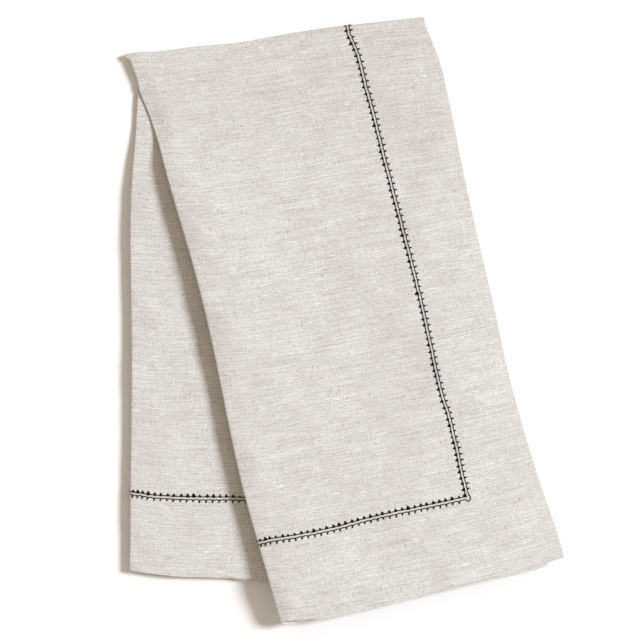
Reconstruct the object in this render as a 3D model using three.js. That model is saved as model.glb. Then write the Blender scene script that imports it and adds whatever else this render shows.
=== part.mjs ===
// A square linen dinner napkin with a wide hem all round. It is folded in half and in half again lengthwise,
// so that the open edges lie along its right side, and then folded over at the top. The front leaf is turned
// a little to the right of the back leaf, and its right side sinks past the back leaf to the table.
// Units are millimetres. +Z is up from the table, +Y points at the folded top and +X at the open edges.
// The origin is on the table, under the middle of the folded napkin's outline.
import * as THREE from 'three';

// The cloth, opened flat
const CLOTH_SIDE = 508;
const CLOTH_THICKNESS = 1.0;
const HALF_CLOTH = CLOTH_THICKNESS / 2;
const SIDE_HEM = 33.5;
const END_HEM = 36;
const HEM_EXTRA = 0.2; // the turned hem adds this on the wrong side of the cloth
const HEM_STEP = 1.2; // the width in which the hem reaches its thickness

// The folded strip of four layers, measured from its middle: outer, hemmed inner, inner and outer again
const OUTER_HEIGHT = 2.2;
const INNER_HEIGHT = 0.6;
const INNER_FOLD_AT = 8.5; // the inner fold's middle, from the strip's left side
const RIGHT_FOLD_RADIUS = (OUTER_HEIGHT - INNER_HEIGHT) / 2;
// The outer fold on the left: its edge stands near the leaf's upper side, which slopes gently to it
const LEFT_FOLD_WIDTH = 10.5;
const LEFT_EDGE_RADIUS = 0.8;
const UPPER_SLOPE = 0.16;
const UNDER_SLOPE = 0.5;
const LEFT_EDGE_RISE = OUTER_HEIGHT - LEFT_EDGE_RADIUS - UPPER_SLOPE * LEFT_FOLD_WIDTH / 2;
const LEAF_GAP = 0.4; // between the front leaf and the back leaf

// How far the lower layers stay back from the open edge: at the front leaf's end and at the back leaf's end
const FOLD_INSET = { front: 7.5, back: 2 };
const EDGE_INSET = { front: 9, back: 4.5 };

// How far each lower layer's end reaches past the outer front layer's, by share of the strip's width, at the
// front leaf's end and at the back leaf's end. The reach builds up from this share of the leaf's length.
const REACH_START = 0.4;
const FRONT_REACH = [
  { share: 0, outerBack: 1.9, innerBack: 0, innerFront: 0.1 },
  { share: 0.12, outerBack: 0.9, innerBack: 0.4, innerFront: 0.6 },
  { share: 0.15, outerBack: 0.4, innerBack: 1.8, innerFront: 2.0 },
  { share: 0.42, outerBack: 0.4, innerBack: 1.4, innerFront: 1.6 },
  { share: 0.6, outerBack: 0.4, innerBack: 0.3, innerFront: 0.7 },
  { share: 0.78, outerBack: 0.4, innerBack: 0.3, innerFront: 0.7 },
  { share: 0.88, outerBack: 1.2, innerBack: 1.0, innerFront: 1.5 },
];
const BACK_REACH = [{ share: 0, outerBack: 0.6, innerBack: -0.4, innerFront: 0.5 }];

// Heights of the leaves' middles above the table, and the fold over at the top
const HALF_LEAF = OUTER_HEIGHT + HALF_CLOTH;
const BACK_MIDDLE = HALF_LEAF;
const FRONT_MIDDLE = 3 * HALF_LEAF + LEAF_GAP;
const FOLD_RADIUS = (FRONT_MIDDLE - BACK_MIDDLE) / 2;
const FOLD_HEIGHT = (FRONT_MIDDLE + BACK_MIDDLE) / 2;
const FOLD_REACH = FOLD_RADIUS + HALF_LEAF;
const FOLD_TILT = THREE.MathUtils.degToRad(7.5);
const FOLD_FLARE = 2.6; // at its left end the top fold is pulled out to the left
const FLARE_POWER = 6; // and this soon it dies away to the right

// The front leaf sinks from the back leaf to the table over this width, and waves a little
const SINK = FRONT_MIDDLE - HALF_LEAF;
const SINK_WIDTH = 90;
const SINK_START = 1;
const END_SINK = 2.2; // how many times faster it sinks past the back leaf's end
// Its open edge droops past the layers under it
const DROOP = 1.6;
const DROOP_WIDTH = 11;
const DROOP_STATIONS = [2.5, 5, 7.5]; // from the open edge
const WAVE = 0.4;
const WAVE_LENGTH = { x: 74, y: 96 };
const WAVE_START = 0.3; // in the leaf's length, from the top fold

// Mesh steps
const LEFT_FOLD_STEPS = { slope: 5, edge: 5 };
const SMALL_FOLD_STEPS = 5;
const TOP_FOLD_STEPS = 10;
// Stations across the strip from its left side, and across the hem from its stitched line
const FLAT_STATIONS = [18, 32, 46, 60, 74, 87];
const HEM_STATIONS = [8, 16, 23];
// Rows along each leaf from the top fold to the hem, and across the hem from the leaf's end
const FRONT_ROWS = [0, 6, 15, 28, 45, 65, 88, 112, 136, 160, 182, 204];
const FRONT_HEM_ROWS = [24, 12, 0];
const BACK_ROWS = [0, 8, 22, 45, 80, 120, 160];
const BACK_HEM_ROWS = [18, 0];

// The outline as seen from above. Each border runs from the top fold down, or from left to right.
const TOP_FOLD = [
  { x: -98.2, y: 122.4 },
  { x: -91.5, y: 122.4 },
  { x: -79.0, y: 123.1 },
  { x: -54.0, y: 126.0 },
  { x: -20.9, y: 131.6 },
  { x: 7.5, y: 135.3 },
  { x: 36.4, y: 138.3 },
];
const FRONT_LEFT = [
  { x: -95.5, y: 112.7 },
  { x: -94.0, y: 108.0 },
  { x: -93.4, y: 104.6 },
  { x: -91.7, y: 100.3 },
  { x: -88.4, y: 92.2 },
  { x: -80.8, y: 65.8 },
  { x: -69.7, y: 27.7 },
  { x: -58.5, y: -19.0 },
  { x: -45.7, y: -78.9 },
  { x: -37.4, y: -108.0 },
  { x: -29.5, y: -136.4 },
];
const FRONT_RIGHT = [
  { x: 43.6, y: 115.6 },
  { x: 46.6, y: 104.3 },
  { x: 51.1, y: 82.4 },
  { x: 59.4, y: 41.1 },
  { x: 68.8, y: 0.9 },
  { x: 76.1, y: -32.4 },
  { x: 81.4, y: -52.3 },
  { x: 90.8, y: -79.4 },
  { x: 99.6, y: -107.2 },
];
const FRONT_END = [
  { x: -21.0, y: -135.5 },
  { x: -7.1, y: -133.0 },
  { x: 8.9, y: -129.6 },
  { x: 53.4, y: -119.8 },
  { x: 79.1, y: -113.4 },
];
const BACK_LEFT = [
  { x: -93.8, y: 107.0 },
  { x: -95.2, y: 86.5 },
  { x: -96.3, y: 73.5 },
  { x: -97.3, y: 59.0 },
  { x: -97.2, y: -1.0 },
  { x: -97.6, y: -70.0 },
  { x: -97.9, y: -112.5 },
];
const BACK_RIGHT = [
  { x: 33.2, y: 100.0 },
  { x: 32.6, y: 28.0 },
  { x: 32.0, y: -60.0 },
  { x: 31.7, y: -114.5 },
];
const BACK_END = [
  { x: -81.0, y: -114.9 },
  { x: -50.3, y: -116.1 },
  { x: -6.8, y: -118.2 },
];
// The back leaf is narrower where it comes out of the top fold
const BACK_DRAWN_IN = { left: 6, right: 5 };

const across = new THREE.Vector3(Math.cos(FOLD_TILT), Math.sin(FOLD_TILT), 0);
const outward = new THREE.Vector3(-Math.sin(FOLD_TILT), Math.cos(FOLD_TILT), 0);

const vector = ({ x, y }) => new THREE.Vector3(x, y, 0);
const smoothCurve = (points) => new THREE.CatmullRomCurve3(points, false, 'centripetal');
const mix = (a, b, share) => a + (b - a) * share;
const smooth = THREE.MathUtils.smoothstep;

// The line where each leaf starts to turn into the top fold
const frontFoldPoints = TOP_FOLD.map((p) => vector(p).addScaledVector(outward, -FOLD_REACH));
const backFoldPoints = frontFoldPoints.map((p, i) => {
  const share = i / (frontFoldPoints.length - 1);
  return p.clone().addScaledVector(across, mix(BACK_DRAWN_IN.left, -BACK_DRAWN_IN.right, share));
});

// A leaf is the smooth patch between four borders: s runs from left to right and t from the fold to the end.
function makeLeaf(foldPoints, leftRows, rightRows, endRows) {
  const left = smoothCurve([foldPoints[0], ...leftRows.map(vector)]);
  const right = smoothCurve([foldPoints[foldPoints.length - 1], ...rightRows.map(vector)]);
  const endLeft = left.getPointAt(1);
  const endRight = right.getPointAt(1);
  const fold = smoothCurve(foldPoints);
  const end = smoothCurve([endLeft, ...endRows.map(vector), endRight]);
  const foldLeft = fold.getPointAt(0);
  const foldRight = fold.getPointAt(1);
  const down = endLeft.clone().add(endRight).sub(foldLeft).sub(foldRight).normalize();
  const at = (s, t) => new THREE.Vector3()
    .addScaledVector(fold.getPointAt(s), 1 - t)
    .addScaledVector(end.getPointAt(s), t)
    .addScaledVector(left.getPointAt(t), 1 - s)
    .addScaledVector(right.getPointAt(t), s)
    .addScaledVector(foldLeft, -(1 - s) * (1 - t))
    .addScaledVector(foldRight, -s * (1 - t))
    .addScaledVector(endLeft, -(1 - s) * t)
    .addScaledVector(endRight, -s * t);
  return { at, down, right, end, length: (left.getLength() + right.getLength()) / 2 };
}
const front = makeLeaf(frontFoldPoints, FRONT_LEFT, FRONT_RIGHT, FRONT_END);
const back = makeLeaf(backFoldPoints, BACK_LEFT, BACK_RIGHT, BACK_END);

// How far a point lies outside the back leaf, past its right side or its end
const BORDER_STEPS = 40;
const backRight = back.right.getSpacedPoints(BORDER_STEPS);
const backEnd = back.end.getSpacedPoints(BORDER_STEPS);
function valueOn(points, from, to, where) {
  for (let i = 1; i < points.length; i += 1) {
    const a = points[i - 1];
    const b = points[i];
    if ((a[from] - where) * (b[from] - where) <= 0 && a[from] !== b[from]) {
      return mix(a[to], b[to], (where - a[from]) / (b[from] - a[from]));
    }
  }
  const near = Math.abs(points[0][from] - where) < Math.abs(points[points.length - 1][from] - where);
  return near ? points[0][to] : points[points.length - 1][to];
}
function pastBackLeaf(point) {
  const right = Math.max(0, point.x - valueOn(backRight, 'y', 'x', point.y) - SINK_START);
  const below = Math.max(0, valueOn(backEnd, 'x', 'y', point.x) - point.y - SINK_START);
  return Math.hypot(right, below * END_SINK);
}

// The left fold's stations, from the outer front layer round to the outer back layer. facingUp is 1 in the
// front leaf, where the outer front layer faces up, and falls to 0 over the top fold.
function leftFold(facingUp) {
  const rise = LEFT_EDGE_RISE * (2 * facingUp - 1);
  const edgeX = HALF_CLOTH + LEFT_EDGE_RADIUS;
  const sides = [1, -1].map((side) => {
    const slope = mix(UNDER_SLOPE, UPPER_SLOPE, side === 1 ? facingUp : 1 - facingUp);
    const angle = Math.PI / 2 + side * Math.atan(slope);
    const x = edgeX + LEFT_EDGE_RADIUS * Math.cos(Math.PI / 2 + Math.atan(slope));
    const run = LEFT_FOLD_WIDTH - x;
    const drop = OUTER_HEIGHT - side * rise - LEFT_EDGE_RADIUS * Math.cos(Math.atan(slope));
    return { side, slope, x, run, drop, angle, power: slope * run / drop };
  });
  const sloped = sides.map(({ side, slope, x, run, drop, power }) => {
    const stations = [];
    for (let i = 0; i <= LEFT_FOLD_STEPS.slope; i += 1) {
      const left = 1 - i / LEFT_FOLD_STEPS.slope;
      const normal = new THREE.Vector2(-slope * left ** (power - 1), side).normalize();
      const height = side * (OUTER_HEIGHT - drop * left ** power);
      stations.push({ x: x + run * (1 - left), height, outX: normal.x, outHeight: normal.y });
    }
    return stations;
  });
  const edge = [];
  const [from, to] = [sides[0].angle, sides[1].angle + Math.PI];
  for (let i = 1; i < LEFT_FOLD_STEPS.edge; i += 1) {
    const angle = mix(from, to, i / LEFT_FOLD_STEPS.edge);
    const [outX, outHeight] = [Math.cos(angle), Math.sin(angle)];
    edge.push({
      x: edgeX + LEFT_EDGE_RADIUS * outX,
      height: rise + LEFT_EDGE_RADIUS * outHeight,
      outX,
      outHeight,
    });
  }
  const all = [...sloped[0].reverse(), ...edge, ...sloped[1]];
  return all.map((station, i) => ({ ...station, layer: i / (all.length - 1) }));
}

// The strip's section at one share of the cloth's length: its stations in the order of the cloth's width
function section(share, facingUp, width) {
  const foldCentre = width - mix(FOLD_INSET.front, FOLD_INSET.back, share) - HALF_CLOTH - RIGHT_FOLD_RADIUS;
  const innerEdge = width - mix(EDGE_INSET.front, EDGE_INSET.back, share);
  const hemLine = width - SIDE_HEM;
  const flats = [...FLAT_STATIONS, hemLine - HEM_STEP / 2, hemLine + HEM_STEP / 2,
    ...HEM_STATIONS.map((fromHemLine) => hemLine + fromHemLine)];
  const droops = DROOP_STATIONS.map((fromEdge) => width - fromEdge);
  const level = (places, height, layer, facing) => places
    .map((x) => ({ x, height, layer, outX: 0, outHeight: facing }));
  const turn = (x, height, radius, from, to, layers, facing) => {
    const stations = [];
    for (let i = 1; i < SMALL_FOLD_STEPS; i += 1) {
      const angle = mix(from, to, i / SMALL_FOLD_STEPS);
      const [outX, outHeight] = [Math.cos(angle), Math.sin(angle)];
      stations.push({
        x: x + radius * outX,
        height: height + radius * outHeight,
        layer: mix(layers[0], layers[1], i / SMALL_FOLD_STEPS),
        outX: facing * outX,
        outHeight: facing * outHeight,
      });
    }
    return stations;
  };
  const up = Math.PI / 2;
  const rightFoldHeight = -(OUTER_HEIGHT + INNER_HEIGHT) / 2;
  return [
    ...level([width, ...droops, ...flats.toReversed()], OUTER_HEIGHT, 0, 1),
    ...leftFold(facingUp),
    ...level([...flats, foldCentre], -OUTER_HEIGHT, 1, -1),
    ...turn(foldCentre, rightFoldHeight, RIGHT_FOLD_RADIUS, -up, up, [1, 2], 1),
    ...level([foldCentre, ...flats.toReversed(), INNER_FOLD_AT], -INNER_HEIGHT, 2, 1),
    ...turn(INNER_FOLD_AT, 0, INNER_HEIGHT, 3 * up, up, [2, 3], -1),
    ...level([INNER_FOLD_AT, ...flats, innerEdge], INNER_HEIGHT, 3, -1),
  ];
}

// The strip's width, at which its section is as long as the cloth is wide
function sectionLength(width) {
  const stations = section(0, 1, width);
  return stations.slice(1).reduce((sum, b, i) => {
    const a = stations[i];
    return sum + Math.hypot(b.x - a.x, b.height - a.height);
  }, 0);
}
const LAYERS = 4;
const firstWidth = CLOTH_SIDE / LAYERS;
const STRIP_WIDTH = firstWidth + (CLOTH_SIDE - sectionLength(firstWidth)) / LAYERS;

// The reach at a share of the width. A layer number between two layers takes a share of each one's reach.
function endReach(table, layer, share) {
  const next = table.findIndex((row) => row.share > share);
  const b = next < 0 ? table.at(-1) : table[next];
  const a = next < 0 ? b : table[next - 1];
  const between = next < 0 ? 0 : (share - a.share) / (b.share - a.share);
  const names = ['outerBack', 'innerBack', 'innerFront'];
  const reach = [0, ...names.map((name) => mix(a[name], b[name], between))];
  const low = Math.min(Math.floor(layer), reach.length - 2);
  return mix(reach[low], reach[low + 1], layer - low);
}

// Rows along the cloth, from the front leaf's end over the top fold to the back leaf's end
function leafRows(leaf, name, facingUp, distances, hemDistances) {
  const fromEnd = [END_HEM + HEM_STEP / 2, END_HEM - HEM_STEP / 2, ...hemDistances];
  return [...distances, ...fromEnd.map((hem) => leaf.length - hem)]
    .map((distance) => ({ name, facingUp, t: distance / leaf.length, hem: leaf.length - distance }));
}
const frontRows = leafRows(front, 'front', 1, FRONT_ROWS, FRONT_HEM_ROWS).reverse();
const foldRows = Array.from({ length: TOP_FOLD_STEPS - 1 }, (_, i) => {
  const turn = (i + 1) / TOP_FOLD_STEPS;
  return { name: 'fold', turn, facingUp: 1 - smooth(turn, 0, 1), hem: front.length };
});
const backRows = leafRows(back, 'back', 0, BACK_ROWS, BACK_HEM_ROWS);
const rows = [...frontRows, ...foldRows, ...backRows];

// A point of the strip, from its place across it and its height off the strip's middle
function place(row, x, height, layer) {
  const s = x / STRIP_WIDTH;
  if (row.name === 'fold') {
    const angle = Math.PI * (row.turn - 0.5);
    const radius = FOLD_RADIUS + height;
    const point = front.at(s, 0).lerp(back.at(s, 0), smooth(row.turn, 0, 1));
    point.addScaledVector(outward, radius * Math.cos(angle));
    point.addScaledVector(across, -FOLD_FLARE * (1 - s) ** FLARE_POWER * Math.cos(angle));
    return point.setZ(FOLD_HEIGHT - radius * Math.sin(angle));
  }
  const [leaf, reachTable] = row.name === 'front' ? [front, FRONT_REACH] : [back, BACK_REACH];
  const reach = endReach(reachTable, layer, s) * smooth(row.t, REACH_START, 1);
  const point = leaf.at(s, row.t).addScaledVector(leaf.down, reach);
  if (row.name === 'back') {
    return point.setZ(BACK_MIDDLE - height);
  }
  const sunk = smooth(pastBackLeaf(point), 0, SINK_WIDTH);
  const waveX = Math.sin(point.x * 2 * Math.PI / WAVE_LENGTH.x);
  const waveY = Math.sin(point.y * 2 * Math.PI / WAVE_LENGTH.y);
  const lift = WAVE * (1 + waveX * waveY) / 2 * (1 - sunk) * smooth(row.t, 0, WAVE_START);
  const droop = layer === 0 ? DROOP * smooth(x, STRIP_WIDTH - DROOP_WIDTH, STRIP_WIDTH) ** 2 : 0;
  return point.setZ(FRONT_MIDDLE + height - SINK * sunk + lift - droop * smooth(row.t, 0, WAVE_START));
}

// The hem's extra thickness at one place of the cloth, by its distances from the cloth's edges
function hemExtra(row, station) {
  const fromSide = station.layer === 0 || station.layer === 3 ? STRIP_WIDTH - station.x : CLOTH_SIDE;
  const inSide = 1 - smooth(fromSide, SIDE_HEM - HEM_STEP / 2, SIDE_HEM + HEM_STEP / 2);
  const inEnd = 1 - smooth(row.hem, END_HEM - HEM_STEP / 2, END_HEM + HEM_STEP / 2);
  return HEM_EXTRA * Math.max(inSide, inEnd);
}

function buildCloth() {
  const positions = [];
  const indices = [];
  const grids = { right: [], wrong: [] };
  rows.forEach((row, j) => {
    const share = j / (rows.length - 1);
    const stations = section(share, row.facingUp, STRIP_WIDTH);
    for (const side of Object.keys(grids)) {
      grids[side].push(stations.map((station) => {
        const offset = side === 'right' ? HALF_CLOTH : -HALF_CLOTH - hemExtra(row, station);
        const x = station.x + offset * station.outX;
        const height = station.height + offset * station.outHeight;
        positions.push(...place(row, x, height, station.layer).toArray());
        return positions.length / 3 - 1;
      }));
    }
  });
  const quad = (a, b, c, d, turned) => {
    indices.push(...(turned ? [a, b, d, b, c, d] : [a, b, c, a, c, d]));
  };
  const layers = section(0, 1, STRIP_WIDTH).map((station) => station.layer);
  const last = layers.length - 1;
  for (let j = 0; j < rows.length - 1; j += 1) {
    for (let i = 0; i < last; i += 1) {
      const turned = Math.round(layers[i]) % 2 === 1;
      const [r0, r1] = [grids.right[j], grids.right[j + 1]];
      const [w0, w1] = [grids.wrong[j], grids.wrong[j + 1]];
      quad(r0[i], r1[i], r1[i + 1], r0[i + 1], !turned);
      quad(w0[i], w0[i + 1], w1[i + 1], w1[i], turned);
    }
    quad(grids.right[j][0], grids.wrong[j][0], grids.wrong[j + 1][0], grids.right[j + 1][0]);
    quad(grids.right[j][last], grids.right[j + 1][last], grids.wrong[j + 1][last], grids.wrong[j][last]);
  }
  const end = rows.length - 1;
  for (let i = 0; i < last; i += 1) {
    quad(grids.right[0][i], grids.right[0][i + 1], grids.wrong[0][i + 1], grids.wrong[0][i]);
    quad(grids.right[end][i], grids.wrong[end][i], grids.wrong[end][i + 1], grids.right[end][i + 1]);
  }
  const geometry = new THREE.BufferGeometry();
  geometry.setAttribute('position', new THREE.Float32BufferAttribute(positions, 3));
  geometry.setIndex(indices);
  geometry.computeBoundingBox();
  const middle = geometry.boundingBox.getCenter(new THREE.Vector3());
  geometry.translate(-middle.x, -middle.y, 0);
  geometry.computeVertexNormals();
  return geometry;
}

const linen = new THREE.MeshStandardMaterial({
  name: 'natural_linen',
  color: new THREE.Color().setRGB(0.73, 0.7, 0.655),
  roughness: 0.9,
  metalness: 0,
});

const cloth = new THREE.Mesh(buildCloth(), linen);
cloth.name = 'napkin_cloth';

const napkin = new THREE.Group();
napkin.add(cloth);

export default napkin;
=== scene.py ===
"""A folded linen napkin with black hemstitching, lying on a pale table, seen from above."""
import math

import bpy
import numpy as np
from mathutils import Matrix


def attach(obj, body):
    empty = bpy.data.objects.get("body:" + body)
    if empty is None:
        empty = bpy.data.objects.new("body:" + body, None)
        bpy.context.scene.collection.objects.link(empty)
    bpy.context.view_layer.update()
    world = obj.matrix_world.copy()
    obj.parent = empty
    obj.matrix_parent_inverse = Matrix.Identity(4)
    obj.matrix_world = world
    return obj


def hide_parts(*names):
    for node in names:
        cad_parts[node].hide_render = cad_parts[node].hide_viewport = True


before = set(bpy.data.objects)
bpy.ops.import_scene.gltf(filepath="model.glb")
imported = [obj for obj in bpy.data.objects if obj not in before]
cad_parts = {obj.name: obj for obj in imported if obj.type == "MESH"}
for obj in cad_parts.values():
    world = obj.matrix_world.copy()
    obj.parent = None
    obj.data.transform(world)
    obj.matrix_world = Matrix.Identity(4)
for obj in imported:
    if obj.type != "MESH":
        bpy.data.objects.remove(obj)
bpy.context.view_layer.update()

# Sizes are in millimetres here, and metres in Blender.
MM = 0.001

# The cloth, opened flat
CLOTH_SIDE = 508.0
THICKNESS = 0.42
HALF = THICKNESS / 2
HEM_EXTRA = 0.22  # the turned hem adds this on the wrong side
HEM_STEP = 0.8
THREAD_ROOM = 0.25  # under and over the cloth, for the thread

# The folded strip's layers, closer together than the solid's thicker ones
OUTER_HEIGHT = 1.6
INNER_HEIGHT = 0.5
HALF_LEAF = OUTER_HEIGHT + HALF + THREAD_ROOM
RIGHT_FOLD_RADIUS = (OUTER_HEIGHT - INNER_HEIGHT) / 2
INNER_FOLD_AT = 8.5
FOLD_INSET = (7.5, 2.0)  # at the front leaf's end and at the back leaf's end
EDGE_INSET = (9.0, 4.5)
LEFT_FOLD_WIDTH = 10.5
LEFT_EDGE_RADIUS = 0.45
UPPER_SLOPES = (0.12, 0.03)  # of the front leaf and of the back leaf
UNDER_SLOPE = 0.45
LEFT_EDGE_RISES = [OUTER_HEIGHT - LEFT_EDGE_RADIUS - slope * LEFT_FOLD_WIDTH / 2 for slope in UPPER_SLOPES]
FLAT_FROM = LEFT_FOLD_WIDTH + 1  # beyond it the layers are level

# The leaves' heights, and the fold over the top between them
LEAF_GAP = 0.4
BACK_MIDDLE = HALF_LEAF
FRONT_MIDDLE = 3 * HALF_LEAF + LEAF_GAP
FOLD_RADIUS = (FRONT_MIDDLE - BACK_MIDDLE) / 2
FOLD_HEIGHT = (FRONT_MIDDLE + BACK_MIDDLE) / 2
FOLD_REACH = FOLD_RADIUS + HALF_LEAF
FOLD_TILT = math.radians(7.5)
FOLD_FLARE = 3.0  # its left end bulges this far to the left
FLARE_POWER = 6
TURN_START = 0.25  # of the fold's turn, where its ends begin to draw in to the back leaf's
# The front leaf's left side springs up off the back leaf, in rises and falls, each from one share of the
# leaf's length to another
SPRING = ((2.3, 0.12, 0.2), (-0.6, 0.52, 0.70), (0.4, 0.79, 0.87), (0.8, 0.86, 0.95))
SPRING_WIDTH = 80.0
# By the top fold this side lies close to the back leaf
CLOSE = 1.5
CLOSE_ALONG = ((0.0, 0.06), (0.12, 0.19))
CLOSE_WIDTH = 8.5
# The back leaf's left side is a little plumper too
BACK_SPRING = 0.4
BACK_SPRING_ACROSS = (5.0, 48.0)
# By the left end of the top fold both leaves are pressed flatter, to this share of their height
PRESSED = 0.44
PRESSED_ACROSS = (-95.0, 75.0)
PRESSED_ALONG = (56.0, 94.0)
LOWEST = THREAD_ROOM  # the underside's height, which stays
# How far the ends of the outer back, inner back and inner front layer reach past the outer front layer's, by
# share of the strip's width
REACH_AT = (0.0, 0.022, 0.06, 0.12, 0.15, 0.34, 0.365, 0.6, 0.78, 0.88)
FRONT_REACH = ((0.2, 1.75, 1.15, 0.7, 0.4, 0.4, 0.4, 0.4, 0.4, 1.2),
               (0.0, 0.0, 0.2, 0.4, 1.8, 1.5, 1.4, 0.3, 0.3, 1.0),
               (0.1, 0.1, 0.3, 0.6, 2.0, 1.7, 1.6, 0.7, 0.7, 1.5))
BACK_REACH = ((0.6,) * 10, (-0.4,) * 6 + (1.3,) * 4, (0.5,) * 10)
REACH_START = 0.4  # the share of a leaf's length from which it comes in
REACH_TURN = (0.4, 0.75)  # where round the left fold the outer back layer's reach comes in
# Past the back leaf the front leaf sinks to the table, and sooner past its end than past its side
SINK = FRONT_MIDDLE - HALF_LEAF
SINK_WIDTH = 90.0
SINK_START = 1.0
END_SINK = 2.2
# Low waves of the front leaf
WAVE = 0.4
WAVE_X, WAVE_Y = 74.0, 96.0
WAVE_START = 0.3  # the share of the leaf's length in which they come in, and its droop too
SWELL_START = 0.1  # the share of a leaf's length in which its swells begin
DROOP = 0.12  # the front leaf's open edge droops past the layers under it
DROOP_WIDTH = 11.0

# The outline from above
TOP_FOLD = ((-98.2, 122.6), (-94.5, 123.1), (-89.0, 122.8), (-79.0, 123.5), (-66.5, 125.2), (-59.0, 125.8),
            (-50.0, 126.6), (-20.9, 131.6), (7.5, 135.3), (35.9, 138.4))
FRONT_LEFT = ((-95.5, 112.7), (-94.0, 108.0), (-93.4, 104.6), (-91.7, 100.3), (-88.4, 92.2), (-80.8, 65.8),
              (-69.7, 27.7), (-58.5, -19.0), (-45.7, -78.9), (-37.4, -108.0), (-29.5, -136.4))
FRONT_RIGHT = ((43.6, 115.6), (46.3, 104.3), (50.8, 82.4), (59.5, 41.1), (63.8, 23.0), (68.8, 0.9),
               (76.4, -32.4), (81.8, -51.5), (90.6, -79.4), (96.2, -95.5), (99.6, -107.2))
FRONT_END = ((-21.0, -135.5), (-7.1, -133.0), (8.9, -129.6), (53.4, -119.8), (79.1, -113.4))
BACK_LEFT = ((-93.8, 107.0), (-95.2, 86.5), (-96.3, 73.5), (-97.3, 59.0), (-97.2, -1.0), (-97.6, -70.0),
             (-97.9, -112.5))
BACK_RIGHT = ((33.2, 100.0), (32.6, 28.0), (32.0, -60.0), (31.7, -114.5))
BACK_END = ((-81.0, -114.9), (-50.3, -116.1), (-6.8, -118.2))
BACK_DRAWN_IN = (6.0, -5.0)

# The stitched line: its distance from the open side, by share of the front leaf's length from its end
HEM_ALONG = (0.0, 0.14, 0.24, 0.3, 0.33, 0.38, 0.48, 0.6, 0.75, 0.9, 0.96, 1.0)
SIDE_HEM = (35.8, 34.4, 32.6, 32.2, 33.0, 33.3, 33.3, 33.5, 34.5, 35.6, 34.5, 34.8)
BACK_SIDE_HEM = 34.0
# and from the front leaf's end, by its place across the strip
HEM_ACROSS = (0.0, 9.0, 30.0, 42.0, 52.0, 68.0, 80.0, 94.0)
FRONT_END_HEM = (36.2, 37.3, 37.1, 37.6, 38.4, 38.7, 38.5, 38.5)
BACK_END_HEM = 36.15

# Stitches, in a line of two rails with a knot on the inner one and a spur on the outer one at each stitch
PITCH = 3.02
CORNER_CROWDING = 0.16  # how much closer the stitches are by a corner on the sides, and over what run
CORNER_RUN = 16.0
FOLD_CROWDING = 0.28  # and by the leaves' left folds
FOLD_RUN = 5.5
RAIL_APART = 1.42
RAIL_WAVE = 0.10
# On the sides and on the ends: the inner and the outer rail's thread, a spur's length, its lean ahead, its
# thread from the root to the tip, and a knot's size
RAIL_THREADS = ((0.44, 0.40), (0.50, 0.52))
SPURS = (1.25, 1.20)
SPUR_LEANS = (0.10, -0.30)
SPUR_THREADS = ((0.90, 0.74, 0.44), (0.80, 0.72, 0.60))
KNOT_SIZES = (0.96, 1.03)
SPUR_STEPS = (0.0, 0.55, 1.0)
NO_SPUR = 2.6  # from a corner
# The first and last stitch's place from a corner, in pitches, and how unevenly things lie
FIRST_STITCH, LAST_STITCH = 0.45, 0.6
STITCH_SPREAD = 0.09
RAIL_SPREAD = 0.06
SPUR_SPREAD = 0.10
LEAN_SPREAD = 0.08
KNOT_SPREAD = 0.12
INNER_WAVE = 0.4  # the inner rail's share of the wave
# How far over the cloth the rails and the stitches run, and the step that tells which way is out
RAIL_ABOVE = 0.05
STITCH_ABOVE = 0.08
OUT_STEP = 0.4
# The stitched line's unevenness fades out between these distances from it
UNEVEN_WITHIN = (60.0, 10.0)
# A knot's outline, as places along the rail and towards the middle of the cloth, and its height
KNOT = ((-0.74, -0.34), (-0.48, 0.52), (-0.08, 1.34), (0.34, 0.88), (0.76, 0.36), (1.0, -0.10), (0.42, -0.46))
KNOT_HEIGHT = 0.34
KNOT_MIDDLE = 0.22  # its highest point, towards the middle of the cloth
KNOT_STEP = 0.3  # along the rail, tells its direction
# The outer rail's loop at a corner, past the rails' crossing: ahead, and away from the middle of the cloth
CORNER_LOOP = ((-1.9, 0.0), (-1.35, 0.45), (-0.8, 1.1), (-0.2, 0.8), (0.3, 0.3), (0.6, -0.45), (0.45, -1.2),
               (0.2, -1.9), (0.0, -2.8))
LOOP_BEFORE, LOOP_AFTER = -CORNER_LOOP[0][0], -CORNER_LOOP[-1][1]

# Mesh steps, in millimetres, and the extra places by the cloth's rim and by the stitched line
ACROSS_STEP = 3.2
ALONG_STEP = 3.2
RIM = (0.0, 0.12, 0.45, -0.12, -0.45)
HEM_LINE = (-0.5, 0.0, 0.5)
UNEVEN_HEM_LINE = (-3.0, -2.2, -1.4, -0.7, 0.0, 0.7, 1.4, 2.2, 3.0)
UNEVEN_HEM_AT = (BACK_SIDE_HEM - 1.5, FRONT_END_HEM[0] + 1.0)  # by the side and by the end
CLEAR_OF_ADDED = 0.2
CLEAR_OF_FOLD = 1.0
# How many steps the lines, bends and folds have
BORDER_STEPS = 500
BEND_STEPS = 9
EDGE_STEPS = 10
FACING_STEPS = 9
TOP_FOLD_STEPS = 17
RAIL_STEPS = 5
THREAD_SIDES = 5
NO_LENGTH = 1e-9  # keeps a division by a length from failing
OUTLINE_STEPS = 400
WRONG_SIDE_SHIFT = 1000  # takes the wrong side to its own part of the weave

rng = np.random.default_rng(11)


def smooth(x, low, high):
    t = np.clip((x - low) / (high - low), 0.0, 1.0)
    return t * t * (3 - 2 * t)


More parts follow.
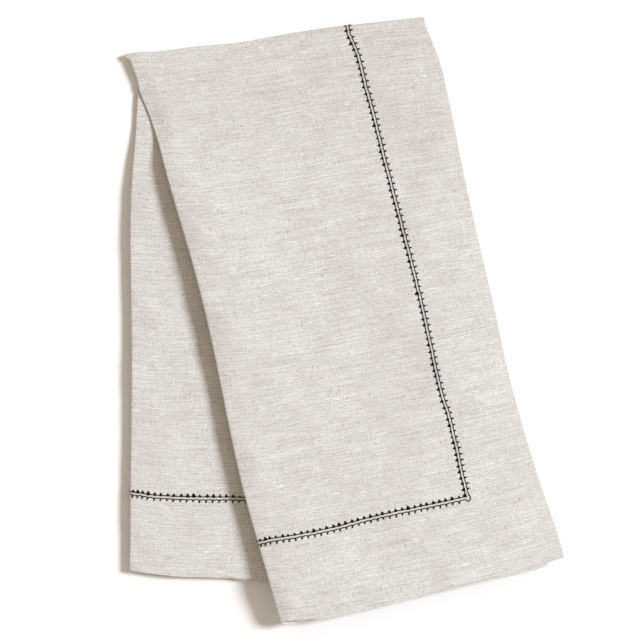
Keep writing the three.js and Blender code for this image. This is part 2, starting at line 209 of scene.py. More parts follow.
class Border:
    """A smooth line through points, read by its share of the length."""

    def __init__(self, points):
        p = np.array(points, float)
        knots = np.r_[0, np.cumsum(np.linalg.norm(np.diff(p, axis=0), axis=1))]
        n = len(p)
        h = np.diff(knots)
        a = np.eye(n)
        b = np.zeros((n, 2))
        for i in range(1, n - 1):
            a[i, i - 1:i + 2] = h[i - 1], 2 * (h[i - 1] + h[i]), h[i]
            b[i] = 6 * ((p[i + 1] - p[i]) / h[i] - (p[i] - p[i - 1]) / h[i - 1])
        m = np.linalg.solve(a, b)
        x = np.linspace(0, knots[-1], BORDER_STEPS)
        i = np.clip(np.searchsorted(knots, x, side="right") - 1, 0, n - 2)
        low, high = (knots[i + 1] - x)[:, None], (x - knots[i])[:, None]
        hi = h[i][:, None]
        self.line = (m[i] * low ** 3 + m[i + 1] * high ** 3) / (6 * hi) \
            + (p[i] / hi - m[i] * hi / 6) * low + (p[i + 1] / hi - m[i + 1] * hi / 6) * high
        self.run = np.r_[0, np.cumsum(np.linalg.norm(np.diff(self.line, axis=0), axis=1))]
        self.length = self.run[-1]

    def at(self, t):
        where = np.asarray(t) * self.length
        return np.stack([np.interp(where, self.run, self.line[:, k]) for k in (0, 1)], axis=-1)


class Leaf:
    """The patch between a leaf's four borders. s runs from left to right and t from the fold to the end."""

    def __init__(self, fold, left, right, end):
        self.fold = Border(fold)
        self.left = Border([fold[0], *left])
        self.right = Border([fold[-1], *right])
        self.end = Border([left[-1], *end, right[-1]])
        self.corners = [np.array(c) for c in (fold[0], fold[-1], left[-1], right[-1])]
        down = self.corners[2] + self.corners[3] - self.corners[0] - self.corners[1]
        self.down = down / np.linalg.norm(down)
        self.length = (self.left.length + self.right.length) / 2

    def at(self, s, t):
        a, b, c, d = self.corners
        s1, t1 = s[..., None], t[..., None]
        return self.fold.at(s) * (1 - t1) + self.end.at(s) * t1 \
            + self.left.at(t) * (1 - s1) + self.right.at(t) * s1 \
            - a * (1 - s1) * (1 - t1) - b * s1 * (1 - t1) - c * (1 - s1) * t1 - d * s1 * t1


across = np.array([math.cos(FOLD_TILT), math.sin(FOLD_TILT)])
outward = np.array([-math.sin(FOLD_TILT), math.cos(FOLD_TILT)])
front_fold = np.array(TOP_FOLD) - outward * FOLD_REACH
shares = np.linspace(0, 1, len(front_fold))[:, None]
back_fold = front_fold + across * (BACK_DRAWN_IN[0] * (1 - shares) + BACK_DRAWN_IN[1] * shares)
front = Leaf(front_fold, FRONT_LEFT, FRONT_RIGHT, FRONT_END)
back = Leaf(back_fold, BACK_LEFT, BACK_RIGHT, BACK_END)


def left_fold(facing_up):
    """The left fold's rows, from the outer front layer round to the outer back layer.

    facing_up is 1 on the front leaf, 0 on the back leaf, and between them round the top fold.
    """
    rise = LEFT_EDGE_RISES[0] * facing_up - LEFT_EDGE_RISES[1] * (1 - facing_up)
    edge_x = HALF + LEFT_EDGE_RADIUS
    sides = []
    angles = []
    for side, upper_slope, upper in zip((1, -1), UPPER_SLOPES, (facing_up, 1 - facing_up)):
        slope = UNDER_SLOPE + (upper_slope - UNDER_SLOPE) * upper
        turned = math.atan(slope)
        x = edge_x - LEFT_EDGE_RADIUS * math.sin(turned)
        run = LEFT_FOLD_WIDTH - x
        drop = OUTER_HEIGHT - side * rise - LEFT_EDGE_RADIUS * math.cos(turned)
        left = np.linspace(1, 0, BEND_STEPS)
        power = slope * run / drop
        normal = np.stack([-slope * left ** (power - 1), np.full(BEND_STEPS, float(side))], 1)
        normal /= np.linalg.norm(normal, axis=1)[:, None]
        height = side * (OUTER_HEIGHT - drop * left ** power)
        sides.append(np.column_stack([x + run * (1 - left), height, normal]))
        angles.append(math.pi / 2 + side * turned)
    bend = np.linspace(angles[0], angles[1] + math.pi, EDGE_STEPS)[1:-1]
    way = np.stack([np.cos(bend), np.sin(bend)], 1)
    edge = np.column_stack([edge_x + LEFT_EDGE_RADIUS * way[:, 0], rise + LEFT_EDGE_RADIUS * way[:, 1], way])
    rows = np.concatenate([sides[0][::-1], edge, sides[1]])
    return np.column_stack([rows[:, :2], np.linspace(0, 1, len(rows)), rows[:, 2:]])


def section(share, facing_up, width):
    """The strip's section: rows of place, height, layer and the right side's way."""
    fold_at = width - FOLD_INSET[0] * (1 - share) - FOLD_INSET[1] * share - HALF - RIGHT_FOLD_RADIUS
    inner_edge = width - EDGE_INSET[0] * (1 - share) - EDGE_INSET[1] * share
    count = int(CLOTH_SIDE / 4 / ACROSS_STEP)

    def level(start, end, height, layer, facing):
        x = np.linspace(start, end, count)
        return np.column_stack([x, np.full(count, height), np.full(count, layer),
                                np.zeros(count), np.full(count, facing)])

    def turn(x, height, radius, start, end, layer, facing):
        angle = np.linspace(start, end, BEND_STEPS)[1:-1]
        way = np.stack([np.cos(angle), np.sin(angle)], 1)
        return np.column_stack([x + radius * way[:, 0], height + radius * way[:, 1],
                                layer + np.linspace(0, 1, BEND_STEPS)[1:-1], facing * way])

    up = math.pi / 2
    return np.concatenate([
        level(width, FLAT_FROM, OUTER_HEIGHT, 0, 1),
        left_fold(facing_up),
        level(FLAT_FROM, fold_at, -OUTER_HEIGHT, 1, -1),
        turn(fold_at, -(OUTER_HEIGHT + INNER_HEIGHT) / 2, RIGHT_FOLD_RADIUS, -up, up, 1, 1),
        level(fold_at, INNER_FOLD_AT, -INNER_HEIGHT, 2, 1),
        turn(INNER_FOLD_AT, 0, INNER_HEIGHT, 3 * up, up, 2, -1),
        level(INNER_FOLD_AT, inner_edge, INNER_HEIGHT, 3, -1),
    ])


def lengths(rows):
    """The length along a section, up to each row."""
    return np.r_[0, np.cumsum(np.linalg.norm(np.diff(rows[:, :2], axis=0), axis=1))]


# The strip's width, at which its section is as long as the cloth is wide
STRIP_WIDTH = CLOTH_SIDE / 4
STRIP_WIDTH += (CLOTH_SIDE - lengths(section(0, 1, STRIP_WIDTH))[-1]) / 4
middle_section = section(0.5, 1, STRIP_WIDTH)
STATION_U = lengths(middle_section)
STATION_U *= CLOTH_SIDE / STATION_U[-1]
# The sections that the rest lie between: at the front and the back end, as the strip is turned over
SECTIONS = [[section(share, up, STRIP_WIDTH) for share in (0, 1)] for up in np.linspace(0, 1, FACING_STEPS)]

LEFT_FOLD_U = STATION_U[np.argmin(middle_section[:, 0])]

FOLD_LENGTH = CLOTH_SIDE - front.length - back.length
FOLD_FROM, FOLD_TO = front.length, front.length + FOLD_LENGTH


def end_reach(table, layer, s):
    """How far a layer's end reaches, at a share of the strip's width, with even changes between layers."""
    layer = np.where(layer < 1, smooth(layer, *REACH_TURN), layer)
    total = 0
    for i, reach in enumerate(table, 1):
        total = total + np.interp(s, REACH_AT, reach) * np.clip(1 - abs(layer - i), 0, 1)
    return total


def past_back_leaf(p):
    """How far a point is past the back leaf's right side and end."""
    line = back.right.line[::-1]
    right = p[..., 0] - np.interp(p[..., 1], line[:, 1], line[:, 0]) - SINK_START
    line = back.end.line
    below = np.interp(p[..., 0], line[:, 0], line[:, 1]) - p[..., 1] - SINK_START
    return np.hypot(np.maximum(right, 0), np.maximum(below, 0) * END_SINK)


# Low swells of the cloth: how high, and waves across and along, each with its start
SWELLS = (
    (0.10, 41.0, 67.0, 0.4),
    (0.08, 27.0, -52.0, 1.9),
    (0.06, 19.0, 33.0, 4.1),
    (0.05, -15.0, 21.0, 2.7),
    (0.03, 11.0, 13.0, 5.3),
)


def swell(x, v):
    """The swells' height at x across the strip and v along the open cloth."""
    return sum(h * np.sin(2 * math.pi * (x / a + v / b) + start) for h, a, b, start in SWELLS)


def with_height(p, z):
    """Points from their places in plan and their heights."""
    return np.concatenate([p, z[..., None]], axis=-1)


def strip_point(u, share, facing_up):
    """The section's place, height, layer and right side's way at u, read between the SECTIONS."""
    read = np.array([[[np.interp(u, STATION_U, column) for column in rows.T] for rows in pair]
                     for pair in SECTIONS])
    level = facing_up * (len(SECTIONS) - 1)
    low = np.minimum(level.astype(int), len(SECTIONS) - 2)
    part = level - low
    values = 0
    for step, weight in ((low, 1 - part), (low + 1, part)):
        for end, amount in ((0, 1 - share), (1, share)):
            chosen = np.take_along_axis(read[:, end], step[None, None], axis=0)[0]
            values = values + chosen * (weight * amount)
    return values


def top_fold_point(x, height, turned):
    """Round the fold over the top, at a share of its turn."""
    s = x / STRIP_WIDTH
    fold_line = np.zeros_like(s)
    blend = smooth(turned, TURN_START, 1)[..., None]
    angle = math.pi * (turned - 0.5)
    radius = FOLD_RADIUS + height
    p = front.at(s, fold_line) * (1 - blend) + back.at(s, fold_line) * blend \
        + outward * (radius * np.cos(angle))[..., None] \
        - across * (FOLD_FLARE * (1 - s) ** FLARE_POWER * np.cos(angle))[..., None]
    return with_height(p, FOLD_HEIGHT - radius * np.sin(angle))


def front_leaf_point(x, v, height, layer):
    """On the front leaf, which springs up at its left side and sinks past the back leaf."""
    s = x / STRIP_WIDTH
    t = np.clip(1 - v / front.length, 0, 1)
    reach = end_reach(FRONT_REACH, layer, s) * smooth(t, REACH_START, 1)
    p = front.at(s, t) + front.down * reach[..., None]
    sunk = smooth(past_back_leaf(p), 0, SINK_WIDTH)
    wave = np.sin(2 * math.pi * p[..., 0] / WAVE_X) * np.sin(2 * math.pi * p[..., 1] / WAVE_Y)
    z = FRONT_MIDDLE + height - SINK * sunk
    z = z + WAVE * (1 + wave) / 2 * (1 - sunk) * smooth(t, 0, WAVE_START)
    top = np.clip(1 - layer, 0, 1)
    z = z - DROOP * top * smooth(x, STRIP_WIDTH - DROOP_WIDTH, STRIP_WIDTH) ** 2 * smooth(t, 0, WAVE_START)
    z = z + swell(x, v) * (0.5 + height / (2 * OUTER_HEIGHT)) * smooth(t, 0, SWELL_START)
    spring = sum(rise * smooth(t, *between) for rise, *between in SPRING)
    z = z + spring * (1 - smooth(x, 0, SPRING_WIDTH))
    close = smooth(t, *CLOSE_ALONG[0]) * (1 - smooth(t, *CLOSE_ALONG[1]))
    z = z - CLOSE * close * (1 - smooth(x, 0, CLOSE_WIDTH))
    return with_height(p, z)


def back_leaf_point(x, v, height, layer):
    """On the back leaf, where the strip is turned over."""
    s = x / STRIP_WIDTH
    t = np.clip((v - FOLD_TO) / back.length, 0, 1)
    reach = end_reach(BACK_REACH, layer, s) * smooth(t, REACH_START, 1)
    p = back.at(s, t) + back.down * reach[..., None]
    started = smooth(t, 0, SWELL_START)
    z = BACK_MIDDLE - height
    z = z + swell(x, v) * (0.5 - height / (2 * OUTER_HEIGHT)) * started
    z = z + BACK_SPRING * (1 - smooth(x, *BACK_SPRING_ACROSS)) * started * z / (2 * BACK_MIDDLE)
    return with_height(p, z)


def place(u, v, off):
    """The folded cloth's point for u across and v along the open cloth, and off towards its right side."""
    u, v, off = np.broadcast_arrays(np.asarray(u, float), np.asarray(v, float), np.asarray(off, float))
    turned = np.clip((v - FOLD_FROM) / FOLD_LENGTH, 0, 1)
    share = np.clip(v / CLOTH_SIDE, 0, 1)
    x, height, layer, out_x, out_h = strip_point(u, share, 1 - smooth(turned, 0, 1))
    x = np.clip(x + off * out_x, 0, STRIP_WIDTH)
    height = height + off * out_h
    points = top_fold_point(x, height, turned)
    for here, leaf_point in ((v <= FOLD_FROM, front_leaf_point), (v >= FOLD_TO, back_leaf_point)):
        points[here] = leaf_point(x, v, height, layer)[here]
    pressed = (1 - smooth(points[..., 0], *PRESSED_ACROSS)) * smooth(points[..., 1], *PRESSED_ALONG)
    points[..., 2] = LOWEST + (points[..., 2] - LOWEST) * (1 - (1 - PRESSED) * pressed)
    return points


def side_hem(v):
    """The stitched line's distance from the cloth's side, at v along it."""
    return np.where(v <= FOLD_TO, np.interp(v / front.length, HEM_ALONG, SIDE_HEM), BACK_SIDE_HEM)


def end_hem(u):
    """The stitched line's distance from the front leaf's end, at u across the cloth."""
    across_strip = np.interp(u, STATION_U, middle_section[:, 0])
    return np.interp(across_strip, HEM_ACROSS, FRONT_END_HEM)


def hem_extra(u, v):
    """What the turned hem adds to the thickness."""
    near = np.minimum(np.minimum(u - side_hem(v), CLOTH_SIDE - BACK_SIDE_HEM - u),
                      np.minimum(v - end_hem(u), CLOTH_SIDE - BACK_END_HEM - v))
    return HEM_EXTRA * (1 - smooth(near, -HEM_STEP / 2, HEM_STEP / 2))


# Materials
class Nodes:
    """A new material and its nodes."""

    def __init__(self, name):
        self.material = bpy.data.materials.new(name)
        self.material.use_nodes = True
        self.tree = self.material.node_tree
        self.tree.nodes.clear()
        self.out = self.tree.nodes.new("ShaderNodeOutputMaterial")

    def add(self, kind, inputs=None, **settings):
        node = self.tree.nodes.new(kind)
        for key, value in settings.items():
            setattr(node, key, value)
        for key, value in (inputs or {}).items():
            self.set(node, key, value)
        return node

    def set(self, node, key, value):
        if isinstance(value, bpy.types.NodeSocket):
            self.tree.links.new(value, node.inputs[key])
        else:
            node.inputs[key].default_value = value

    def math(self, operation, a, b=0.0, clamp=False):
        return self.add("ShaderNodeMath", {0: a, 1: b}, operation=operation, use_clamp=clamp).outputs[0]

    def noise(self, vector, scale, detail=2.0, roughness=0.5):
        return self.add("ShaderNodeTexNoise", {"Vector": vector, "Scale": scale, "Detail": detail,
                                               "Roughness": roughness}).outputs["Fac"]

    def band(self, value, low, high, to_low=0.0, to_high=1.0, smoothly=True):
        return self.add("ShaderNodeMapRange", {"Value": value, "From Min": low, "From Max": high,
                                               "To Min": to_low, "To Max": to_high},
                        interpolation_type="SMOOTHSTEP" if smoothly else "LINEAR").outputs[0]


WEAVE_MAP = "cloth"  # in millimetres of the open cloth: x across it, y along it
YARN = 0.62
# The weave's uneven tone: the size of each part across and along, in mm, its octaves and its strength
TONES = (
    (3.6, 0.72, 1.5, 0.36),  # thick and thin places of the weft
    (0.66, 2.6, 1.0, 0.26),  # and of the warp
    (0.70, 0.64, 0.0, 0.38),  # single crossings
    (30.0, 0.74, 1.0, 0.40),  # whole weft yarns
    (10.0, 0.66, 1.0, 0.30),
    (0.60, 15.0, 1.0, 0.19),  # whole warp yarns
    (44.0, 2.4, 1.5, 0.13),
    (13.0, 9.0, 2.0, 0.10),
)
TONE_SHIFT = (37, 19)  # takes each part to its own place in the noise
TONE_ROUGHNESS = 0.6
RELIEF_UNDER = 1.0  # parts finer than this give relief too
CROSSING_TONE, CROSSING_RISE = 0.03, 0.10
DARK_LINEN = (0.402, 0.373, 0.327, 1)
LINEN = (0.642, 0.629, 0.597, 1)
LIGHT_LINEN = (0.884, 0.887, 0.873, 1)
TONE_SPAN = 0.36
WHITE_SLUB = (0.93, 0.925, 0.90, 1)
DARK_FIBRE = (0.23, 0.155, 0.10, 1)
# Spots of the weave: their size across and along, their place in the noise, its octaves, and the noise's
# values between which they fade in
SLUB = ((6.0, 0.95), (13, 29), 0.0, (0.74, 0.80))
SLUB_PATCH = ((24, 19), (3, 5), 1.0, (0.46, 0.60))
LONG_FIBRE = ((0.66, 2.8), (17, 19), 0.0, (0.77, 0.86))
SHORT_FIBRE = ((0.9, 0.8), (51, 7), 0.0, (0.78, 0.87))
SLUB_STRENGTH, SLUB_RISE = 0.85, 0.25
FIBRE_STRENGTH = 0.6
DARK_THREAD = (0.003, 0.0025, 0.003, 1)
LIGHT_THREAD = (0.013, 0.010, 0.010, 1)
TWIST_SCALE = 3800.0


def linen_material():
    m = Nodes("natural linen")
    uv = m.add("ShaderNodeUVMap", uv_map=WEAVE_MAP).outputs[0]
    split = m.add("ShaderNodeSeparateXYZ", {0: uv}).outputs

    def stretched(size, at):
        return m.add("ShaderNodeMapping", {"Vector": uv, "Scale": (1 / size[0], 1 / size[1], 1),
                                           "Location": (*at, 0)}).outputs[0]

    def spots(size, at, octaves, between):
        return m.band(m.noise(stretched(size, at), 1.0, octaves), *between)

    tone, rise = 0.5, 0.0
    for i, (x, y, octaves, strength) in enumerate(TONES):
        shift = (TONE_SHIFT[0] * i, TONE_SHIFT[1] * i)
        part = m.math("SUBTRACT", m.noise(stretched((x, y), shift), 1.0, octaves, TONE_ROUGHNESS), 0.5)
        tone = m.math("ADD", tone, m.math("MULTIPLY", part, strength))
        if min(x, y) < RELIEF_UNDER:
            rise = m.math("ADD", rise, m.math("MULTIPLY", part, strength))
    waves = [m.math("SINE", m.math("MULTIPLY", split[axis], 2 * math.pi / YARN)) for axis in (0, 1)]
    crossings = m.math("MULTIPLY", *waves)
    tone = m.math("ADD", tone, m.math("MULTIPLY", crossings, CROSSING_TONE), clamp=True)
    ramp = m.add("ShaderNodeValToRGB", {0: tone})
    stops = ramp.color_ramp.elements
    stops[0].position, stops[0].color = 0.5 - TONE_SPAN, DARK_LINEN
    stops[1].position, stops[1].color = 0.5 + TONE_SPAN, LIGHT_LINEN
    stops.new(0.5).color = LINEN

    # White slubs of the weft, in some places, and short dark fibres
    slubs = m.math("MULTIPLY", spots(*SLUB), spots(*SLUB_PATCH))
    slubs = m.math("MULTIPLY", slubs, m.band(waves[0], -1.0, 1.0, 0.55, 1.0))
    light = m.add("ShaderNodeMix", {"Factor": m.math("MULTIPLY", slubs, SLUB_STRENGTH), "A": ramp.outputs[0],
                                    "B": WHITE_SLUB}, data_type="RGBA").outputs["Result"]
    fibres = m.math("MAXIMUM", spots(*LONG_FIBRE), spots(*SHORT_FIBRE))
    colour = m.add("ShaderNodeMix", {"Factor": m.math("MULTIPLY", fibres, FIBRE_STRENGTH), "A": light,
                                     "B": DARK_FIBRE}, data_type="RGBA").outputs["Result"]
    rise = m.math("ADD", rise, m.math("MULTIPLY", crossings, CROSSING_RISE))
    rise = m.math("ADD", rise, m.math("MULTIPLY", slubs, SLUB_RISE))
    bump = m.add("ShaderNodeBump", {"Strength": 0.4, "Distance": 0.00016, "Height": rise})
    surface = m.add("ShaderNodeBsdfPrincipled", {
        "Base Color": colour, "Roughness": m.band(tone, 0.3, 0.7, 0.92, 0.80, smoothly=False),
        "Normal": bump.outputs[0], "Specular IOR Level": 0.2, "Sheen Weight": 0.08, "Sheen Roughness": 0.5})
    m.tree.links.new(surface.outputs[0], m.out.inputs[0])
    return m.material


def thread_material():
    m = Nodes("black cotton thread")
    where = m.add("ShaderNodeTexCoord").outputs["Object"]
    twist = m.noise(where, TWIST_SCALE, 2.0, 0.6)
    ramp = m.add("ShaderNodeValToRGB", {0: twist})
    stops = ramp.color_ramp.elements
    stops[0].position, stops[0].color = 0.3, DARK_THREAD
    stops[1].position, stops[1].color = 0.75, LIGHT_THREAD
    bump = m.add("ShaderNodeBump", {"Strength": 0.5, "Distance": 0.00008, "Height": twist})
    surface = m.add("ShaderNodeBsdfPrincipled", {
        "Base Color": ramp.outputs[0], "Roughness": m.band(twist, 0.3, 0.7, 0.7, 0.5),
        "Normal": bump.outputs[0], "Specular IOR Level": 0.12, "Sheen Weight": 0.03, "Sheen Roughness": 0.4})
    m.tree.links.new(surface.outputs[0], m.out.inputs[0])
    return m.material


# Meshes
def mesh_object(name, points, faces):
    """A smooth-shaded object, from points in millimetres."""
    mesh = bpy.data.meshes.new(name)
    mesh.from_pydata((points * MM).tolist(), [], faces)
    mesh.polygons.foreach_set("use_smooth", [True] * len(mesh.polygons))
    mesh.validate()
    mesh.update()
    thing = bpy.data.objects.new(name, mesh)
    bpy.context.collection.objects.link(thing)
    return thing


# The cloth
def with_places(values, places, offsets):
    """The values with those offsets from each place added, and none of the first ones close to a place."""
    near = max(abs(o) for o in offsets) + CLEAR_OF_ADDED
    kept = [x for x in values if min(abs(x - p) for p in places) > near]
    added = [min(max(p + o, 0), CLOTH_SIDE) for p in places for o in offsets]
    return np.array(sorted({*kept, *added}))


def build_cloth(shift):
    """The folded sheet: its right side, its wrong side and the rim between them."""
    across_at = with_places(STATION_U, (0, CLOTH_SIDE), RIM)
    across_at = with_places(across_at, (CLOTH_SIDE - BACK_SIDE_HEM,), HEM_LINE)
    across_at = with_places(across_at, UNEVEN_HEM_AT[:1], UNEVEN_HEM_LINE)
    along_at = np.arange(0, CLOTH_SIDE, ALONG_STEP)
    along_at = along_at[(along_at < FOLD_FROM - CLEAR_OF_FOLD) | (along_at > FOLD_TO + CLEAR_OF_FOLD)]
    along_at = np.array([*along_at, *np.linspace(FOLD_FROM, FOLD_TO, TOP_FOLD_STEPS)])
    along_at = with_places(along_at, (0, CLOTH_SIDE), RIM)
    along_at = with_places(along_at, (CLOTH_SIDE - BACK_END_HEM,), HEM_LINE)
    along_at = with_places(along_at, UNEVEN_HEM_AT[1:], UNEVEN_HEM_LINE)
    u, v = np.meshgrid(across_at, along_at)
    sides = (place(u, v, HALF), place(u, v, -HALF - hem_extra(u, v)))
    rows, cols = u.shape
    points = np.concatenate([side.reshape(-1, 3) for side in sides]) + shift
    index = np.arange(rows * cols).reshape(rows, cols)
    a, b = index[:-1, :-1].ravel(), index[:-1, 1:].ravel()
    c, d = index[1:, 1:].ravel(), index[1:, :-1].ravel()
    n = rows * cols
    faces = [np.stack([a, b, c, d], 1), np.stack([a + n, d + n, c + n, b + n], 1)]
    rim = np.r_[index[0, :], index[1:, -1], index[-1, -2::-1], index[-2:0:-1, 0]]
    after = np.roll(rim, -1)
    faces.append(np.stack([rim, rim + n, after + n, after], 1))
    cloth = mesh_object("linen_napkin", points, np.concatenate(faces).tolist())
    mesh = cloth.data
    layer = mesh.uv_layers.new(name=WEAVE_MAP)
    flat = np.tile(np.stack([u.ravel(), v.ravel()], 1), (2, 1))
    flat[n:, 0] += WRONG_SIDE_SHIFT
    corner = np.zeros(len(mesh.loops), dtype=np.int32)
    mesh.loops.foreach_get("vertex_index", corner)
    layer.data.foreach_set("uv", flat[corner].astype(np.float32).ravel())
    return cloth


# The stitching
def on_cloth(flat, off):
    """Points over the cloth's right side and the ways out of it, from places by an even stitched line."""
    u, v = flat[..., 0], flat[..., 1]
    # The line is a little uneven on the front leaf
    by_side = smooth(u - BACK_SIDE_HEM, *UNEVEN_WITHIN)
    by_end = smooth(v - BACK_END_HEM, *UNEVEN_WITHIN)
    u, v = u + (side_hem(v) - BACK_SIDE_HEM) * by_side, v + (end_hem(u) - BACK_END_HEM) * by_end
    low = place(u, v, HALF + off)
    normal = place(u, v, HALF + off + OUT_STEP) - low
    return low, normal / np.linalg.norm(normal, axis=-1, keepdims=True)


def tubes(points, normals, widths):
    """Threads along rows of points, of the widths given for each step, closed at both ends."""
    count, steps, _ = points.shape
    tangent = np.gradient(points, axis=1)
    side = np.cross(tangent, normals)
    side /= np.maximum(np.linalg.norm(side, axis=-1, keepdims=True), NO_LENGTH)
    up = np.cross(side, tangent)
    up /= np.maximum(np.linalg.norm(up, axis=-1, keepdims=True), NO_LENGTH)
    sides = THREAD_SIDES
    angle = 2 * math.pi * np.arange(sides) / sides
    radius = np.broadcast_to(np.asarray(widths, float) / 2, (steps,))[:, None, None]
    ring = points[:, :, None] + radius * (np.cos(angle)[:, None] * side[:, :, None]
                                          + np.sin(angle)[:, None] * up[:, :, None])
    index = np.arange(count * steps * sides).reshape(count, steps, sides)
    a, b = index[:, :-1], np.roll(index[:, :-1], -1, axis=2)
    c, d = np.roll(index[:, 1:], -1, axis=2), index[:, 1:]
    faces = np.stack([a, b, c, d], -1).reshape(-1, 4).tolist()
    faces += index[:, 0, ::-1].tolist() + index[:, -1].tolist()
    return ring.reshape(-1, 3), faces


def knots(points, along, normal, size):
    """Low pointed lumps of thread."""
    inward = np.cross(normal, along)
    ring = [points + (along * a + inward * b) * size for a, b in KNOT]
    middle = points + inward * KNOT_MIDDLE * size
    corners = np.stack([middle + normal * KNOT_HEIGHT, *ring, middle - normal * KNOT_HEIGHT / 2], 1)
    count = len(KNOT)
    index = np.arange(len(points) * (count + 2)).reshape(-1, count + 2)
    faces = []
    for i in range(count):
        a, b = 1 + i, 1 + (i + 1) % count
        faces += index[:, [0, b, a]].tolist() + index[:, [count + 1, a, b]].tolist()
    return corners.reshape(-1, 3), faces


def stitch_places(length, fold):
    """Where the stitches are along one side or end of the stitched line. An end passes a left fold."""
    places = [FIRST_STITCH * PITCH]
    while places[-1] < length - LAST_STITCH * PITCH:
        d = places[-1]
        if fold is None:
            close = CORNER_CROWDING * (math.exp(-d / CORNER_RUN) + math.exp(-(length - d) / CORNER_RUN))
        else:
            close = FOLD_CROWDING * math.exp(-((d - fold) / FOLD_RUN) ** 2)
        places.append(d + PITCH * (1 - close))
    return np.array(places) + rng.normal(0, STITCH_SPREAD, len(places))


def stitch_side(start, end, fold):
    """The rails, their widths, and the spurs and knots, from one corner of the stitched line to the next."""
    start, end = np.array(start, float), np.array(end, float)
    length = np.linalg.norm(end - start)
    way = (end - start) / length
    inward = np.array((way[1], -way[0]))
    at = stitch_places(length, fold)
    count = len(at)
    kind = int(fold is not None)

    def flat(ahead, sideways):
        return start + way * np.asarray(ahead)[..., None] + inward * np.asarray(sideways)[..., None]

    fine = np.arange(0, length, PITCH / RAIL_STEPS)
    beat = np.cos(2 * math.pi * np.interp(fine, at, np.arange(count)))
    uneven = np.interp(fine, at, rng.normal(0, RAIL_SPREAD, count))
    rails = []
    for side in (1, -1):
        outer = side < 0
        reach = RAIL_APART / 2 + RAIL_WAVE * beat * (1.0 if outer else INNER_WAVE)
        # The outer rail stops short of the corners for their loops
        first = LOOP_AFTER - RAIL_APART / 2 if outer else RAIL_APART / 2
        last = length - LOOP_BEFORE + RAIL_APART / 2 if outer else length - RAIL_APART / 2
        rails.append(flat(fine, side * reach + uneven)[(fine > first) & (fine < last)])
    corner = end + (way - inward) * RAIL_APART / 2
    loop = [corner + way * ahead - inward * away for ahead, away in CORNER_LOOP]
    rails[1] = np.concatenate([rails[1], loop])

    steps = np.array(SPUR_STEPS)
    spur = SPURS[kind] * (1 + rng.normal(0, SPUR_SPREAD, count))
    lean = rng.normal(SPUR_LEANS[kind], LEAN_SPREAD, count)
    root = -RAIL_APART / 2 - RAIL_WAVE + np.interp(at, fine, uneven)
    spurs = flat(at[:, None] + lean[:, None] * steps, root[:, None] - spur[:, None] * steps)
    spurs = on_cloth(spurs[(at > NO_SPUR) & (at < length - NO_SPUR)], STITCH_ABOVE)
    lump_at = at + rng.normal(0, KNOT_SPREAD, count)
    base = RAIL_APART / 2 + np.interp(lump_at, fine, uneven)
    low, normal = on_cloth(flat(lump_at, base), STITCH_ABOVE)
    ahead, _ = on_cloth(flat(lump_at + KNOT_STEP, base), STITCH_ABOVE)
    along = (ahead - low) / np.linalg.norm(ahead - low, axis=-1, keepdims=True)
    lumps = knots(low, along, normal, KNOT_SIZES[kind] * (1 + rng.normal(0, KNOT_SPREAD, (count, 1))))
    widths = [np.full(len(rail), thread) for rail, thread in zip(rails, RAIL_THREADS[kind])]
    return rails, widths, [tubes(*spurs, SPUR_THREADS[kind]), lumps]


def build_stitching(shift):
    """The stitched line round the cloth: rails, spurs and knots."""
    low_u, high_u = BACK_SIDE_HEM, CLOTH_SIDE - BACK_SIDE_HEM
    low_v, high_v = BACK_END_HEM, CLOTH_SIDE - BACK_END_HEM
    corners = ((high_u, low_v), (low_u, low_v), (low_u, high_v), (high_u, high_v))
    rails, threads, parts = ([], []), ([], []), []
    for i, start in enumerate(corners):
        end = corners[(i + 1) % 4]
        fold = abs(LEFT_FOLD_U - start[0]) if start[1] == end[1] else None
        lines, widths, stitches = stitch_side(start, end, fold)
        for side in (0, 1):
            rails[side].append(lines[side])
            threads[side].append(widths[side])
        parts += stitches
    for rail, thread in zip(rails, threads):
        line = np.concatenate([*rail, rail[0][:1]])
        low, normal = on_cloth(line[None], RAIL_ABOVE)
        parts.append(tubes(low, normal, np.concatenate([*thread, thread[0][:1]])))
    points, faces, base = [], [], 0
    for part_points, part_faces in parts:
        points.append(part_points)
        faces += [[i + base for i in face] for face in part_faces]
        base += len(part_points)
    points = np.concatenate(points) + shift
    points[:, 2] = np.maximum(points[:, 2], 0)  # pressed flat on the table
    return mesh_object("hemstitching", points, faces)


# The outline's middle comes over the origin
even_places = np.linspace(0, CLOTH_SIDE, OUTLINE_STEPS)
outline = place(*np.meshgrid(even_places, even_places), HALF).reshape(-1, 3)
middle = (outline.min(axis=0) + outline.max(axis=0)) / 2
shift = np.array([-middle[0], -middle[1], 0])

cloth = build_cloth(shift)
cloth.data.materials.append(linen_material())
stitching = build_stitching(shift)
stitching.data.materials.append(thread_material())
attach(cloth, "root")
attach(stitching, "root")
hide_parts("napkin_cloth")


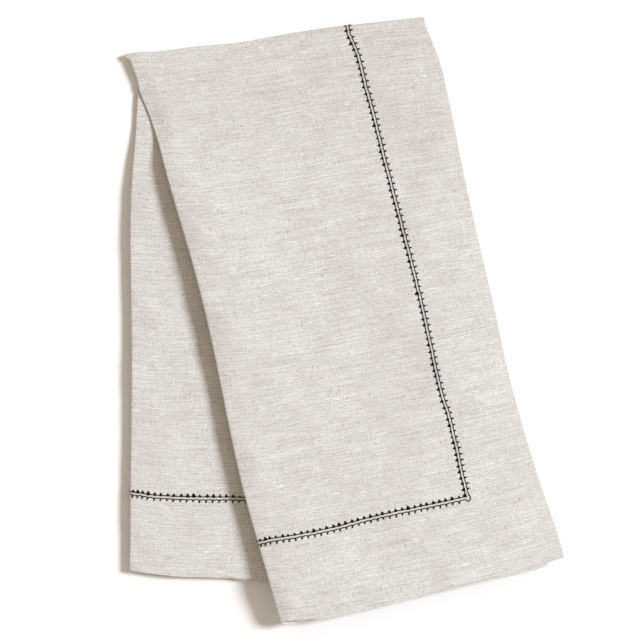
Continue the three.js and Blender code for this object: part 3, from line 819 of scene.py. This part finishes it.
# The table, camera and lights
def plain(name, colour, roughness):
    m = Nodes(name)
    surface = m.add("ShaderNodeBsdfPrincipled", {"Base Color": colour, "Roughness": roughness})
    m.tree.links.new(surface.outputs[0], m.out.inputs[0])
    return m.material


TABLE_SIZE = 6.0
bpy.ops.mesh.primitive_plane_add(size=TABLE_SIZE)
table = bpy.context.object
table.name = "table_top"
table.data.materials.append(plain("pale table", (0.93, 0.93, 0.93, 1), 0.9))

# In metres. The picture's width is at the cloth's height, and its centre is a place before the shift.
PICTURE_WIDTH = 0.2902
SENSOR_WIDTH = 36  # in millimetres, as Blender has it
CAMERA_HEIGHT = 3.0
CLOTH_HEIGHT = 0.008
PICTURE_CENTRE = (-0.01134, 0.0005)
view = bpy.data.cameras.new("camera")
view.sensor_width = SENSOR_WIDTH
view.lens = SENSOR_WIDTH * (CAMERA_HEIGHT - CLOTH_HEIGHT) / PICTURE_WIDTH
view.clip_end = 20
camera = bpy.data.objects.new("camera", view)
camera.location = (PICTURE_CENTRE[0] + shift[0] * MM, PICTURE_CENTRE[1] + shift[1] * MM, CAMERA_HEIGHT)
bpy.context.collection.objects.link(camera)
bpy.context.scene.camera = camera

# A wide, distant light from the right, and even light from all round
LIGHT_AZIMUTH = math.radians(12)
LIGHT_ELEVATION = math.radians(37)
light = bpy.data.lights.new("key", "SUN")
light.angle = math.radians(16)
light.energy = 3.48
light.color = (0.935, 1.0, 1.074)
lamp = bpy.data.objects.new("key", light)
lamp.rotation_euler = (math.pi / 2 - LIGHT_ELEVATION, 0, LIGHT_AZIMUTH + math.pi / 2)
bpy.context.collection.objects.link(lamp)

WORLD_COLOUR = (1, 0.846, 0.706, 1)
WORLD_STRENGTH = 0.505
world = bpy.data.worlds.new("studio")
world.use_nodes = True
world.node_tree.nodes["Background"].inputs[0].default_value = WORLD_COLOUR
world.node_tree.nodes["Background"].inputs[1].default_value = WORLD_STRENGTH
bpy.context.scene.world = world
bpy.context.scene.view_settings.view_transform = "Standard"
